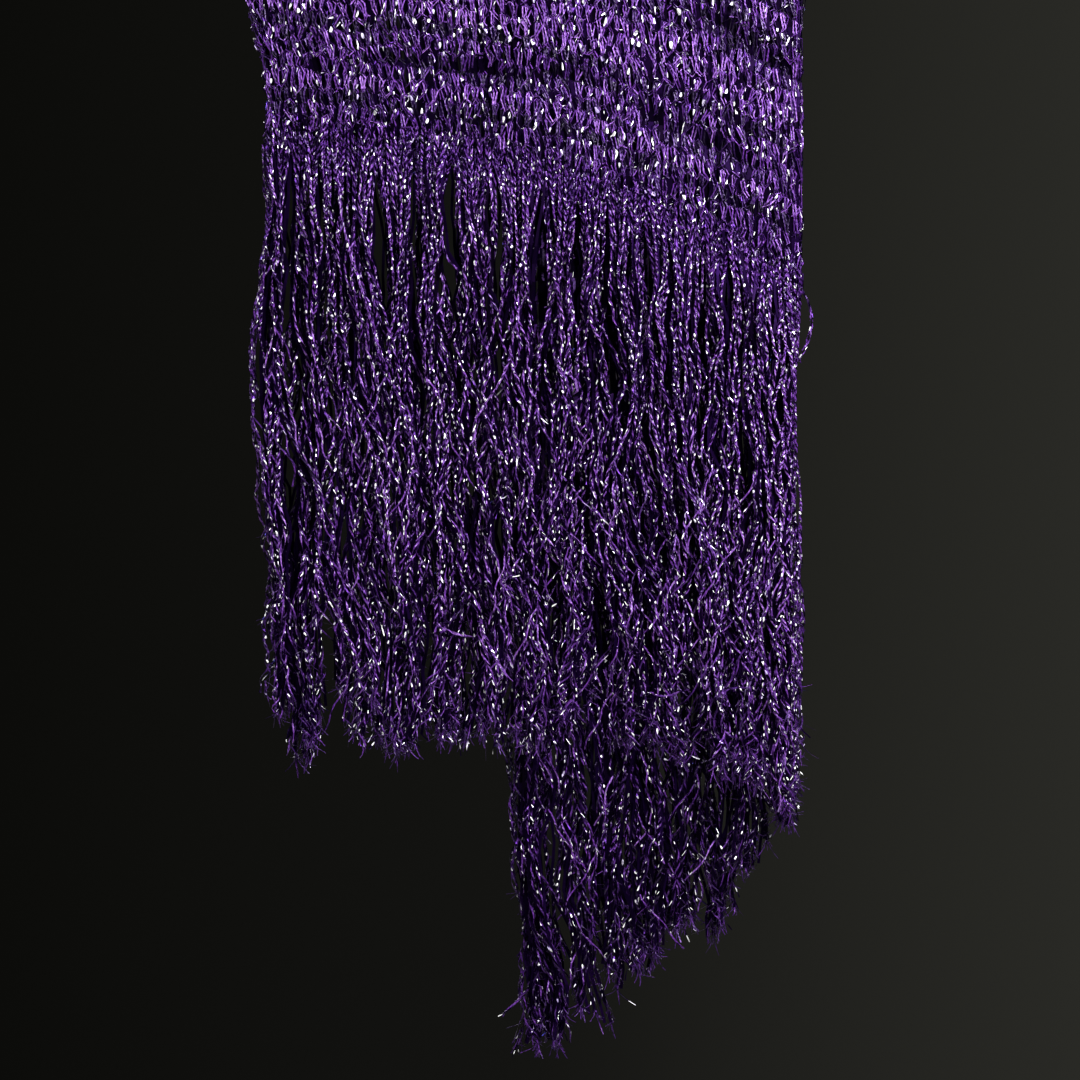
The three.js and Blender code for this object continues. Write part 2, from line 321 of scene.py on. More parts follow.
def section(u, z):
    """The cloth's place across and out from the rail, and its outward normal in those two."""
    spread = FLARE * smooth(*FLARE_HEIGHTS, z)
    from_fold = (OUTER_WIDTH - u) * (1 + spread / OUTER_WIDTH)
    turn = np.clip((u - OUTER_WIDTH) / FOLD_RADIUS, 0, math.pi)
    past = np.maximum(0, u - OUTER_WIDTH - FOLD_ARC)
    outer = u <= OUTER_WIDTH
    x = np.where(outer, FOLD_X - from_fold, FOLD_X + FOLD_RADIUS * np.sin(turn) - past)
    proud = OUTER_LAYER + FOLD_OPENING * np.exp(-((from_fold / FOLD_REACH) ** 2))
    round_fold = INNER_LAYER + FOLD_RADIUS + FOLD_RADIUS * np.cos(turn)
    return x, np.where(outer, proud, round_fold), np.sin(turn), np.cos(turn)


def trough(x, z, crease):
    """How deep in a crease a place lies, from 0 to 1, and how high on its lip."""
    x0, z0, x1, z1, _, spread = crease
    along = (x - x0) / (x1 - x0)
    ends = smooth(*CREASE_ENDS, along) * smooth(*CREASE_ENDS, 1 - along)
    above = z - (z0 + (z1 - z0) * along)
    lip = np.exp(-(((above - LIP_PLACE * spread) / spread) ** 2))
    return ends * np.exp(-((above / spread) ** 2)), ends * lip


def bulge(x, z, side):
    """How far a fall is moved out by its ripples and creases."""
    grown = smooth(*RIPPLES_GROW, -z)
    out = sum(grown * depth * np.sin(TURN * x / wave + phase) for wave, depth, phase in RIPPLES[side])
    for crease in CREASES[side]:
        sunk, lip = trough(x, z, crease)
        out = out + CREASE_DEPTH * crease[4] * (LIP_HEIGHT * lip - sunk)
    return out


def on_cloth(u, s, off):
    """Points at u across, s along and off the cloth's middle, with the cloth's normals there."""
    front = FRONT_HANG + skew(u)
    layer = section(u, np.zeros_like(u))[1]
    angle = np.clip((s - front) / layer, 0, math.pi)
    rear = s - front - math.pi * layer
    z = np.where(s < front, s - front, np.where(rear > 0, -rear, 0))
    x, out, across, outward = section(u, z)
    out = out + np.where(s < front, bulge(x, z, "front"), bulge(x, z, "rear"))
    reach = out + off * outward
    points = np.stack([x + off * across, -reach * np.cos(angle), z + reach * np.sin(angle)], axis=-1)
    normals = np.stack([across, -outward * np.cos(angle), outward * np.sin(angle)], axis=-1)
    return points, normals


def cloth_path(u):
    """The length from hem to hem at u."""
    layer = section(u, np.zeros_like(u))[1]
    return FRONT_HANG + REAR_HANG + math.pi * layer


# --- Yarn as a mesh --------------------------------------------------------------------------------
# A bundle of yarn is a dictionary of arrays: points, quads, ends (triangles), and for each quad its
# tone, its finish (its place in YARN) and its corners' places along and round the yarn.
# Paths are arrays of (yarn, point, xyz).

DYED, FOIL = 0, 1


def corners_along(paths, sides):
    """Places along and round the yarn for the corners of each quad."""
    lengths = np.linalg.norm(np.diff(paths, axis=1), axis=-1)
    along = np.concatenate([np.zeros((len(paths), 1)), np.cumsum(lengths, axis=1)], axis=1)
    corner = np.zeros(lengths.shape + (sides, 4, 2))
    corner[..., 0] = np.stack([along[:, :-1], along[:, :-1], along[:, 1:], along[:, 1:]], -1)[:, :, None]
    around = np.arange(sides)
    corner[..., 1] = np.stack([around, around + 1, around + 1, around], -1) / sides
    return corner.reshape(-1, 2)


def turned(angle, paths, facing):
    """Directions square to each path, turned by angle from the one that is nearest to facing."""
    tangents = unit(np.gradient(paths, axis=1))
    first = unit(facing - (facing * tangents).sum(-1, keepdims=True) * tangents)
    second = np.cross(tangents, first)
    spare = (slice(None), slice(None)) + (None,) * (angle.ndim - 2)
    return np.cos(angle)[..., None] * first[spare] + np.sin(angle)[..., None] * second[spare]


def filament(paths, radius, facing, tone):
    """A dyed filament: three-sided tubes, twisted by half a radian at each step."""
    yarns, steps = paths.shape[:2]
    angle = chance.uniform(0, TURN, (yarns, 1, 1)) + 0.5 * np.arange(steps)[None, :, None]
    ring = turned(angle + np.arange(3) * (TURN / 3), paths, facing)
    grid = np.arange(yarns * steps * 3).reshape(yarns, steps, 3)
    here, there = grid[:, :-1], grid[:, 1:]
    quads = np.stack([here, np.roll(here, -1, 2), np.roll(there, -1, 2), there], axis=-1)
    uneven = 0.12
    shade = tone + chance.normal(0, uneven, (yarns, steps - 1))
    return {
        "points": (paths[:, :, None] + radius * ring).reshape(-1, 3),
        "quads": quads.reshape(-1, 4),
        "ends": np.concatenate([grid[:, 0][:, [0, 2, 1]], grid[:, -1]]),
        "tone": np.repeat(shade.ravel(), 3),
        "finish": np.full(quads.size // 4, DYED),
        "corner": corners_along(paths, 3),
    }


def strips(paths, width, across, tone, finish, corner):
    """Flat strips along paths, with their width along across."""
    yarns, steps = paths.shape[:2]
    half = across * (np.broadcast_to(width, (yarns, steps)) / 2)[..., None]
    grid = np.arange(yarns * steps * 2).reshape(yarns, steps, 2)
    quads = np.stack([grid[:, :-1, 0], grid[:, :-1, 1], grid[:, 1:, 1], grid[:, 1:, 0]], axis=-1)
    return {
        "points": np.stack([paths - half, paths + half], axis=2).reshape(-1, 3),
        "quads": quads.reshape(-1, 4),
        "ends": np.zeros((0, 3), dtype=int),
        "tone": tone.ravel(),
        "finish": np.full(yarns * (steps - 1), finish),
        "corner": corner,
    }


def ply(paths, width, outward, tone, uneven=0.16, finish=DYED):
    """Flat plies that lie on their strand with one side outward."""
    across = unit(np.cross(np.gradient(paths, axis=1), outward))
    shade = tone + chance.normal(0, uneven, (len(paths), paths.shape[1] - 1))
    return strips(paths, width, across, shade, finish, corners_along(paths, 1))


def film(paths, width, facing, turn, glints, swell=1.6):
    """A slit film: flat strips that turn by an angle at each step.

    Where the strip lies flat to facing, a share of its steps, glints, is a painted glint: a bead of bare
    foil painted white, most of them narrow and a few up to swell wider.
    """
    yarns, steps = paths.shape[:2]
    unsteady, flatness = 0.25, 1.25
    angle = chance.uniform(0, TURN, (yarns, 1)) + turn * np.arange(steps)[None]
    angle = angle + chance.normal(0, unsteady, angle.shape)
    flat = np.abs(np.sin(angle[:, :-1]) + np.sin(angle[:, 1:])) > flatness
    # Painted glints: white beads of bare foil on a share of the steps that lie flat to facing.
    painted_foil_glint = flat & (chance.uniform(0, 1, flat.shape) < glints)
    narrow, few, shrink = 0.56, 3.5, 0.7
    bead = np.where(painted_foil_glint, narrow + swell * chance.uniform(0, 1, painted_foil_glint.shape) ** few, 1)
    wide = np.ones((yarns, steps))
    wide[:, :-1] = bead
    wide[:, 1:] = np.where(painted_foil_glint, np.maximum(wide[:, 1:] * shrink, bead), wide[:, 1:])
    shade = np.clip(FILM_TONE + chance.normal(0, 0.06, painted_foil_glint.shape), 0, LACQUERED)
    shade = np.where(painted_foil_glint, chance.uniform(*PAINTED_GLINT_TONES, painted_foil_glint.shape), shade)
    corner = np.tile([[0.0, 0.0], [0.0, 1.0], [1.0, 1.0], [1.0, 0.0]], (painted_foil_glint.size, 1))
    return strips(paths, wide * width, turned(angle, paths, facing), shade, FOIL, corner)


def join(bundles):
    """Several bundles of yarn as one."""
    offsets = np.cumsum([0] + [len(b["points"]) for b in bundles[:-1]])
    kept = ("points", "tone", "finish", "corner")
    joined = {key: np.concatenate([b[key] for b in bundles]) for key in kept}
    for key in ("quads", "ends"):
        joined[key] = np.concatenate([b[key] + offset for b, offset in zip(bundles, offsets)])
    return joined


def make_piece(name, yarn):
    """A piece of the shawl from a bundle of yarn. The cut ends of filaments have a tone of their own."""
    points = yarn["points"].copy()
    points[:, 0] = np.minimum(points[:, 0], FURTHEST)
    points[:, 1] = np.clip(points[:, 1], -DEEPEST["front"], DEEPEST["rear"])
    quads, ends = yarn["quads"], yarn["ends"]
    mesh = bpy.data.meshes.new(name)
    mesh.vertices.add(len(points))
    mesh.vertices.foreach_set("co", (points * MM).astype(np.float32).ravel())
    mesh.loops.add(quads.size + ends.size)
    mesh.loops.foreach_set("vertex_index", np.concatenate([quads.ravel(), ends.ravel()]).astype(np.int32))
    mesh.polygons.add(len(quads) + len(ends))
    starts = np.concatenate([np.arange(len(quads)) * 4, quads.size + np.arange(len(ends)) * 3])
    mesh.polygons.foreach_set("loop_start", starts.astype(np.int32))
    mesh.update(calc_edges=True)
    cut_end = 0.3
    tones = np.concatenate([yarn["tone"], np.full(len(ends), cut_end)]).astype(np.float32)
    mesh.attributes.new("tone", "FLOAT", "FACE").data.foreach_set("value", tones)
    corners = np.concatenate([yarn["corner"], np.zeros((ends.size, 2))]).astype(np.float32)
    mesh.uv_layers.new(name="yarn").data.foreach_set("uv", corners.ravel())
    mesh.polygons.foreach_set("use_smooth", np.zeros(len(mesh.polygons), dtype=bool))
    for finish in YARN:
        mesh.materials.append(finish)
    slots = np.concatenate([yarn["finish"], np.full(len(ends), DYED)]).astype(np.int32)
    mesh.polygons.foreach_set("material_index", slots)
    piece = bpy.data.objects.new(name, mesh)
    bpy.context.scene.collection.objects.link(piece)
    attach(piece, "root")
    return piece


# --- Finishes --------------------------------------------------------------------------------------


def linear(hex_colour):
    """An sRGB hex colour as linear RGBA."""
    parts = [int(hex_colour[i : i + 2], 16) / 255 for i in (1, 3, 5)]
    return [c / 12.92 if c <= 0.04045 else ((c + 0.055) / 1.055) ** 2.4 for c in parts] + [1.0]


def add(tree, kind, links=(), **settings):
    """A node of a kind, with its inputs or properties set, and links from other nodes' sockets."""
    node = tree.nodes.new(kind)
    for key, value in settings.items():
        if key in node.inputs:
            node.inputs[key].default_value = value
        else:
            setattr(node, key, value)
    for socket, source in links:
        tree.links.new(source, node.inputs[socket])
    return node


def set_ramp(node, stops):
    """The stops of a colour ramp, from places and sRGB hex colours."""
    elements = node.color_ramp.elements
    while len(elements) > 1:
        elements.remove(elements[-1])
    elements[0].position, elements[0].color = stops[0][0], linear(stops[0][1])
    for place, colour in stops[1:]:
        elements.new(place).color = linear(colour)


def scaled(tree, socket, before, after):
    """A socket's value, taken from one range to another."""
    node = add(tree, "ShaderNodeMapRange", [("Value", socket)])
    node.inputs["From Min"].default_value, node.inputs["From Max"].default_value = before
    node.inputs["To Min"].default_value, node.inputs["To Max"].default_value = after
    return node.outputs["Result"]


def new_material(name):
    material = bpy.data.materials.new(name)
    material.use_nodes = True
    material.node_tree.nodes.clear()
    return material, material.node_tree


def dyed_nylon():
    """Dyed nylon filament, drawn and twisted: a saturated violet with a satin gloss along each filament."""
    material, tree = new_material("dyed_nylon_filament")
    tone = add(tree, "ShaderNodeAttribute", attribute_name="tone", attribute_type="GEOMETRY")
    place = add(tree, "ShaderNodeUVMap", uv_map="yarn")
    # The filaments' twist shows as slanting bands, which are about 2.2 mm apart along the yarn.
    slant = (0.9, 1.0, 1.0)
    band_scale = 0.32
    wound = add(tree, "ShaderNodeMapping", [("Vector", place.outputs["UV"])], Scale=slant)
    twist = add(
        tree, "ShaderNodeTexWave", [("Vector", wound.outputs[0])],
        wave_type="BANDS", bands_direction="DIAGONAL", Scale=band_scale, Distortion=0.6, Detail=1.0,
    )
    ramp = add(tree, "ShaderNodeValToRGB", [("Fac", tone.outputs["Fac"])])
    set_ramp(ramp, [(0.0, "#0A0314"), (0.4, "#321152"), (0.75, "#603088"), (1.0, "#8E63B3")])
    shaded = add(
        tree, "ShaderNodeMix", [(0, twist.outputs["Fac"]), (6, ramp.outputs["Color"])],
        data_type="RGBA", blend_type="MULTIPLY",
    )
    shaded.inputs[7].default_value = linear("#C2B2CE")
    bump = add(tree, "ShaderNodeBump", [("Height", twist.outputs["Fac"])], Strength=0.4, Distance=0.2 * MM)
    surface = add(
        tree, "ShaderNodeBsdfPrincipled",
        [("Base Color", shaded.outputs[2]), ("Normal", bump.outputs["Normal"])],
        Roughness=0.45, IOR=1.53,
    )
    surface.inputs["Specular Tint"].default_value = linear("#C6ACEE")
    add(tree, "ShaderNodeOutputMaterial", [("Surface", surface.outputs["BSDF"])])
    return material


def metallised_film():
    """Slit polyester film with a vapour-deposited coat, lacquered purple: near black where it mirrors the
    dark. Its beads of bare foil are painted glints: white and not metallic, so that they shine from any
    side."""
    material, tree = new_material("slit_metallised_film_with_painted_glints")
    tone = add(tree, "ShaderNodeAttribute", attribute_name="tone", attribute_type="GEOMETRY")
    ramp = add(tree, "ShaderNodeValToRGB", [("Fac", tone.outputs["Fac"])])
    lacquer = [(0.0, "#0C0512"), (0.5, "#1E0A38"), (LACQUERED, "#3E1F6C")]
    # Painted glints: the top tones, from the second, go from a pale violet to white.
    set_ramp(ramp, [*lacquer, (PAINTED_GLINT_FROM, "#7D62A8"), (0.965, "#FFFFFF")])
    painted_foil_glint = scaled(tree, tone.outputs["Fac"], (LACQUERED, PAINTED_GLINT_FROM), (0.0, 1.0))
    # A painted glint is an oval in the middle of its step of film; its rim lies between two radii, and
    # outside it the step is a dark purple.
    oval = (0.72, 1.0, 0.0)
    rim = (0.34, 0.52)
    place = add(tree, "ShaderNodeUVMap", uv_map="yarn")
    centred = add(tree, "ShaderNodeVectorMath", [(0, place.outputs["UV"])], operation="MULTIPLY_ADD")
    centred.inputs[1].default_value = oval
    centred.inputs[2].default_value = [-axis / 2 for axis in oval]
    away = add(tree, "ShaderNodeVectorMath", [(0, centred.outputs["Vector"])], operation="LENGTH")
    outside = scaled(tree, away.outputs["Value"], rim, (0.0, 1.0))
    edge = add(tree, "ShaderNodeMath", [(0, painted_foil_glint), (1, outside)], operation="MULTIPLY")
    painted_glint_middle = add(tree, "ShaderNodeMath", [(0, painted_foil_glint), (1, edge.outputs[0])], operation="SUBTRACT")
    # Painted glint: white and not metallic in the oval, dark purple film outside it.
    colour = add(
        tree, "ShaderNodeMix", [(0, edge.outputs[0]), (6, ramp.outputs["Color"])], data_type="RGBA",
    )
    colour.inputs[7].default_value = linear("#241040")
    surface = add(
        tree, "ShaderNodeBsdfPrincipled",
        [
            ("Base Color", colour.outputs[2]),
            ("Metallic", scaled(tree, painted_glint_middle.outputs[0], (0.0, 1.0), (0.9, 0.0))),
        ],
        Roughness=0.3,
    )
    surface.inputs["Specular Tint"].default_value = linear("#A884E6")
    add(tree, "ShaderNodeOutputMaterial", [("Surface", surface.outputs["BSDF"])])
    return material


YARN = [dyed_nylon(), metallised_film()]


# --- The knit --------------------------------------------------------------------------------------


def wander(waves, row, u):
    """Slow waves over the cloth."""
    return sum(size * np.sin(by_row * row + by_u * u) for size, by_row, by_u in waves)


def loop_lines(wales, courses, fine):
    """Middle lines of a patch: each course is one yarn that runs through the wales."""
    per_loop, start, rise, lag = FINE_LOOP if fine else PLAIN_LOOP
    rows = np.arange(*courses)
    count = wales[1] - wales[0]
    phase = (start + np.arange(count * per_loop + 1)) * (TURN / per_loop)
    stitch = np.minimum(np.arange(len(phase)) // per_loop, count - 1)
    rise = rise * chance.uniform(*RISE_VARIES, (len(rows), count))[:, stitch]
    lean, slip, lift = (chance.normal(0, size, (len(rows), count))[:, stitch] for size in (LEAN, SLIP, LIFT))
    up = -np.cos(phase)
    row = rows[:, None] + np.zeros((1, len(phase)))
    u = WALE * (wales[0] + phase / TURN + LOOP_SWELL * np.sin(2 * phase))[None] + lean * (0.4 + up)
    u = u + wander(WALE_WAVES, row, u)
    u = np.clip(u, SELVEDGE, CLOTH_WIDTH - SELVEDGE)
    s = (row + 0.5) / COURSES * cloth_path(u) + rise * up + slip
    s = s + wander(ROW_WAVES, row, u)
    off = -LOOP_DEPTH * np.cos(2 * phase + lag)[None] + lift
    return on_cloth(u, s, off)


def painted_shade_strips(wales, courses, off):
    """Painted shade: dark strips that run up behind the loops of each wale, for the yarn's second layer in
    shadow.
    """
    uneven, wavy, wide = 0.06, 0.12, 0.96  # in wales
    wale = np.arange(max(1, wales[0]), wales[1])[:, None] + 0.5
    wale = wale + chance.normal(0, uneven, wale.shape)
    row = np.arange(courses[0], courses[1] + 1)[None]
    u = WALE * (wale + wavy * np.sin(0.4 * row + wale))
    points, normals = on_cloth(u, row / COURSES * cloth_path(u), off + np.zeros_like(u))
    tone = chance.uniform(0.0, 0.4, (points.shape[0], points.shape[1] - 1))
    return ply(points, wide * WALE, normals, tone, uneven=0, finish=FOIL)


def sunk_in(points, side):
    """How deep in the creases of a side each point lies, from 0 to 1."""
    x, z = points[..., 0], points[..., 2]
    return np.max([trough(x, z, crease)[0] for crease in CREASES[side]], axis=0)


def knit(wales, courses, fine):
    """The yarn of a patch, its dyed core and what is wound round it, with painted shade strips behind, and
    all its plies where it is fine.
    """
    lines, normals = loop_lines(wales, courses, fine)
    facing = normals[:, ::2]
    sunk = sunk_in(lines, "front" if courses[0] < TURN_COURSES[0] else "rear")
    tone = chance.normal(KNIT_TONE, ROW_TONES[0 if fine else 1], (len(lines), 1))
    tone = tone + chance.normal(0, STITCH_TONES, facing.shape[:2])
    # Painted shade: the dyed plies are darker deep in the creases.
    tone = (tone - CREASE_SHADE * sunk[:, ::2])[:, :-1]
    angle = 0.9 * np.arange(lines.shape[1])[None] + chance.uniform(0, 6, (len(lines), 1))
    across = np.cross(unit(np.gradient(lines, axis=1)), normals)
    shift = KNIT_OFFSET * (np.cos(angle)[..., None] * normals + np.sin(angle)[..., None] * across)
    core_path = (lines - 0.6 * shift)[:, ::2]
    if fine:
        core = filament(core_path, CORE, facing, tone)
        # Painted shade: fewer glints deep in the creases.
        glints = 0.36 * (1 - 0.8 * sunk[:, :-1])
        wound = film(lines + shift, FILM, normals, 1.15, glints, swell=3.1)
        beside = ply((lines + 1.5 * across + 0.3 * normals)[:, ::2], BESIDE, facing, tone)
        return core, join([wound, beside, painted_shade_strips(wales, courses, -0.4)])
    core = ply(core_path, WIDE_PLY, facing, tone)
    # The film comes to the surface in about one loop in three.
    per_loop = PLAIN_LOOP[0]
    loops = np.arange(0, lines.shape[1] - 1, per_loop)[:, None] + np.arange(per_loop + 1)
    shown = chance.uniform(0, 1, (len(lines), len(loops))) < 0.33
    wound = film((lines + shift)[:, loops][shown], FILM, normals[:, loops][shown], 1.2, 0.45, swell=2.6)
    return core, join([wound, painted_shade_strips(wales, courses, -0.2)])


# --- The fringe ------------------------------------------------------------------------------------


def lock_line(side, panel, lock, z):
    """Where the middle of each strand's lock is across, at heights z of (strand, point)."""
    x = np.zeros_like(z)
    for number in np.unique(lock):
        *places, tip_place, tip = LOCKS[side, panel][number]
        knots = [tip, *LOCK_HEIGHTS[side, panel][::-1]]
        places = [tip_place, *places[::-1]]
        mine = lock == number
        x[mine] = np.mean([np.interp(z[mine] + d, knots, places) for d in (-20, -10, 0, 10, 20)], axis=0)
    return x


def choose_locks(side, panel, root_x):
    """The lock that each strand starts in, and the one that it ends in, which may be the next."""
    middles = np.array(LOCKS[side, panel])[:, 0]
    first = np.abs(root_x[:, None] - middles).argmin(1)
    beside = np.clip(first + chance.choice([-1, 1], len(root_x)), 0, len(middles) - 1)
    return first, np.where(chance.uniform(0, 1, len(root_x)) < CHANGES, beside, first)


def tip_heights(side, panel, last):
    """Where strands end: near their lock's tip, or well above it."""
    tips = np.array([lock[-1] for lock in LOCKS[side, panel]])
    cut = chance.uniform(0, 1, len(last)) < CUT_SHARE
    missing = np.where(cut, CUT_MOST * chance.uniform(0.05, 1, len(last)) ** 1.6, 0)
    return tips[last] + chance.normal(TIP_PLACE, TIP_SPREAD, len(last)) + missing


def in_locks(side, panel, first, last, root_x, top, z, share):
    """Where strands are across: drawn together in their locks, a little loose, and swung at their tips."""
    count, locks = len(root_x), len(LOCKS[side, panel])
    down = top[:, None] - z
    at_root = lock_line(side, panel, first, top[:, None])
    before = lock_line(side, panel, first, z)
    after = lock_line(side, panel, last, z)
    change = smooth(-CHANGE_REACH, CHANGE_REACH, down - chance.uniform(*CHANGE_PLACE, (count, 1)))
    drawn = chance.uniform(*PULL[panel], locks)[first][:, None] * smooth(*PULL_GROWS, down)
    spread = (root_x[:, None] - at_root) * (1 - drawn) * (1 - 0.3 * smooth(0.6, 1, share))
    loose = chance.normal(0, LOOSE, (count, 1)) * smooth(*LOOSE_GROWS, down)
    loose = loose * (1 - 0.4 * smooth(0.7, 1, share))
    middle, of_locks, of_strands = SWING
    swing = chance.normal(middle, of_locks, locks)[last][:, None] + chance.normal(0, of_strands, (count, 1))
    still = np.isin(np.arange(locks), (0, locks - 1))  # the outermost locks don't sway
    sway = np.where(still, 0, chance.uniform(*SWAY, locks))[first][:, None] * smooth(*SWAY_GROWS, down)
    curve = np.sin(down / chance.uniform(*SWAY_LENGTH, locks)[first][:, None] + 2.4 * first[:, None])
    swung = swing * smooth(*SWING_GROWS, share) + sway * curve
    return before + (after - before) * change + spread + loose + swung


def waves(down, kinds, vary):
    """Waves along each strand, from the hem down, with sizes that differ where vary is set."""
    moved = 0
    for low, high, size in kinds:
        length = chance.uniform(low, high, (len(down), 1))
        phase = chance.uniform(0, TURN, (len(down), 1))
        if vary:
            size = size * chance.uniform(0.3, 1.3, (len(down), 1))
        moved = moved + size * smooth(*WAVES_GROW, down) * np.sin(TURN * down / length + phase)
    return moved


def parted(x, down):
    """Strands at x, moved away from the partings between the locks."""
    opening, closing = PARTING_ENDS
    for place, width, start, stop in PARTINGS:
        grown = smooth(start, start + opening, down) * (1 - smooth(stop - closing, stop, down))
        own = (x * grown).sum(1, keepdims=True) / (grown.sum(1, keepdims=True) + 1e-9)
        x = x + np.sign(own - place) * width / 2 * grown * np.exp(-np.abs(x - place) / PARTING_REACH)
    return x


def held_in(x, z):
    """Strands at x, crowded together past the edges. The right edge is a little wavy."""
    size, level, length = RIGHT_WAVE
    left, right = EDGES[0], EDGES[1] + size * np.sin((z - level) / length)
    right = right + chance.normal(0, 1.0, (len(x), 1))
    x = np.where(x > right, right + CROWDING[1] * (x - right), x)
    return np.where(x < left, left + CROWDING[0] * (x - left), x)


def strand_lines(side, panel, places, step):
    """Middle lines of strands that hang from the hem at each place u."""
    outer = panel == "outer"
    hem = -(FRONT_HANG + skew(places)) if side == "front" else -(REAR_HANG - skew(places))
    top = hem + chance.uniform(*ROOT_REACH, len(places))
    root_x, root_out, _, _ = section(places, top)
    first, last = choose_locks(side, panel, root_x)
    end = tip_heights(side, panel, last)
    steps = int(round((top - end).max() / step)) // 2 * 2 + 1
    share = np.linspace(0, 1, steps)[None]
    z = top[:, None] + (end - top)[:, None] * share
    down = top[:, None] - z
    x = in_locks(side, panel, first, last, root_x, top, z, share) + waves(down, SIDE_WAVES, vary=True)
    if side == "front" and outer:
        x = parted(x, down)
    away = 1 if outer else -1
    lane = chance.uniform(*LANES, (len(places), 1)) * away * smooth(*LANES_GROW, down)
    at_hem = HEM_STEP * away * (1 - smooth(*HEM_STEP_ENDS, down))
    out = root_out[:, None] + lane + bulge(x, z, side) + at_hem + waves(down, OUTWARD_WAVES, vary=False)
    if outer:
        bow = BOW * chance.uniform(0, 1.2, len(places)) * np.exp(-((places / BOW_WIDTH) ** 2))
        start, length = BOW_LENGTH
        x = x - bow[:, None] * np.sin(math.pi * np.clip((down - start) / length, 0, 1))
    return np.stack([held_in(x, z), outward_from(side)[1] * out, z], axis=-1)


def painted_shade_plies(lines, facing, depths):
    """Painted shade: dark plies behind the middle lines, one at each depth, which fill the strands' gaps."""
    dark = []
    lines, facing = lines[:, ::6], facing[:, ::6]
    for number, depth in enumerate(depths):
        aside = np.clip(chance.normal(0, 1.0, (len(lines), 1, 3)), -1.4, 1.4) * SHADE_PLY_ASIDE
        path = lines - depth * facing + number * aside
        path[..., 0] = np.clip(path[..., 0], path[..., 0].min(0) + 5, EDGES[1] - 3)
        tone = chance.uniform(0.1, 0.55, (len(lines), 1))
        dark.append(ply(path, WIDE_PLY, facing, tone, uneven=0.05, finish=FOIL))
    return dark


def strands(lines, side, full, tone, glints, shade_ply_depths):
    """The plies of each strand, twisted loosely round its middle line, with dark plies of painted shade
    behind it.
    """
    count, steps = lines.shape[:2]
    facing = np.broadcast_to(outward_from(side), lines.shape)
    length = np.linalg.norm(np.diff(lines, axis=1), axis=-1).sum(1)[:, None]
    share = np.linspace(0, 1, steps)[None]
    along = length * share
    hand = chance.choice([-1, 1], (count, 1))
    twist = TURN * along / chance.uniform(*STRAND_PITCH, (count, 1)) * (1 - UNTWIST * share)
    angle = chance.uniform(0, TURN, (count, 1)) + hand * twist
    angle = angle + WAVERS[0] * np.sin(along / WAVERS[1] + chance.uniform(0, TURN, (count, 1)))
    astray = STRAYS_BY[0] * np.sin(along / STRAYS_BY[1] + chance.uniform(0, TURN, (count, 1)))
    second = math.pi + astray
    # The plies come apart towards the tip, and get narrower there.
    near_tip = smooth(0.92, 1.0, share)
    apart = PLY_OFFSET * (1 + SPLAY[0] * smooth(0.4, 0.9, share) + SPLAY[1] * near_tip)
    apart = apart * (1 + 0.3 * np.sin(along / 6 + angle[:, :1]))
    taper = 1 - TIP_TAPER * near_tip

    def wound(ahead, out=1.0):
        """The path of a ply that is an angle ahead, and its outward side."""
        shift = np.stack([np.cos(angle + ahead), np.sin(angle + ahead), np.zeros_like(angle)], axis=-1)
        return lines + out * apart[..., None] * shift, shift

    # Painted shade: at the hem, where the strands lie in each other's shade, they are darker and have fewer
    # glints, and they are darker towards the tip. Some show hardly more than their film.
    glints = glints * (0.4 + 0.6 * smooth(10, 40, along))[:, :-1]
    dull = chance.uniform(0, 1, (count, 1)) < DULL_SHARE * (1 - 0.5 * smooth(-40, 40, lines[:, :1, 0]))
    shade = tone - np.where(dull, DULLER, 0) + chance.normal(0, 0.12, (count, 1))
    # Painted shade: darker towards the tip here, and at the hem on the next line.
    shade = shade + 0.14 * np.sin(along / 17 + angle[:, :1]) - 0.1 * smooth(0.55, 0.95, share)
    shade = (shade - 0.16 * (1 - smooth(5, 30, along)))[:, :-1]
    if not full:
        path, outward = wound(0, 0.5)
        wide = ply(path, 1.6 * PLY * taper, outward, shade)
        return join([wide, film(wound(2.4)[0], 1.4 * FILM * taper, facing, 1.2, glints)])
    plies = [ply(path, PLY * taper, outward, shade) for path, outward in (wound(0), wound(second))]
    tape = film(wound(1.7, 0.95)[0] + 0.25 * facing, FILM * taper, facing, 1.2, glints)
    return join([*plies, tape, *painted_shade_plies(lines, facing, shade_ply_depths)])


def loose_ends(lines, side, each, reach, wild, low, steps):
    """Ends that stand out from the lowest share of each strand, most at its tip, and how they face."""
    count = len(lines) * each
    from_tip = (chance.uniform(0, 1, count) ** 2.2 * low * (lines.shape[1] - 2)).astype(int)
    which = np.repeat(np.arange(len(lines)), each)
    start = lines[which, lines.shape[1] - 1 - from_tip]
    size = reach * chance.uniform(0.45, 1.3, (count, 1, 1))
    heading = wild * np.clip(chance.normal(0, 1, (count, 1, 3)), -1.7, 1.7) * np.array([0.5, 0.35, 0.35])
    heading = unit(heading + np.array([0.05, 0, -0.85]))
    curl = wild * chance.normal(0, 1, (count, 1, 3)) * np.array([0.5, 0.2, 0.3])
    t = np.linspace(0, 1, steps)[None, :, None]
    paths = start[:, None] + size * (t * heading + t * t * curl)
    facing = unit(outward_from(side) + chance.normal(0, 0.5, (count, 1, 3)))
    return paths, np.broadcast_to(facing, paths.shape)


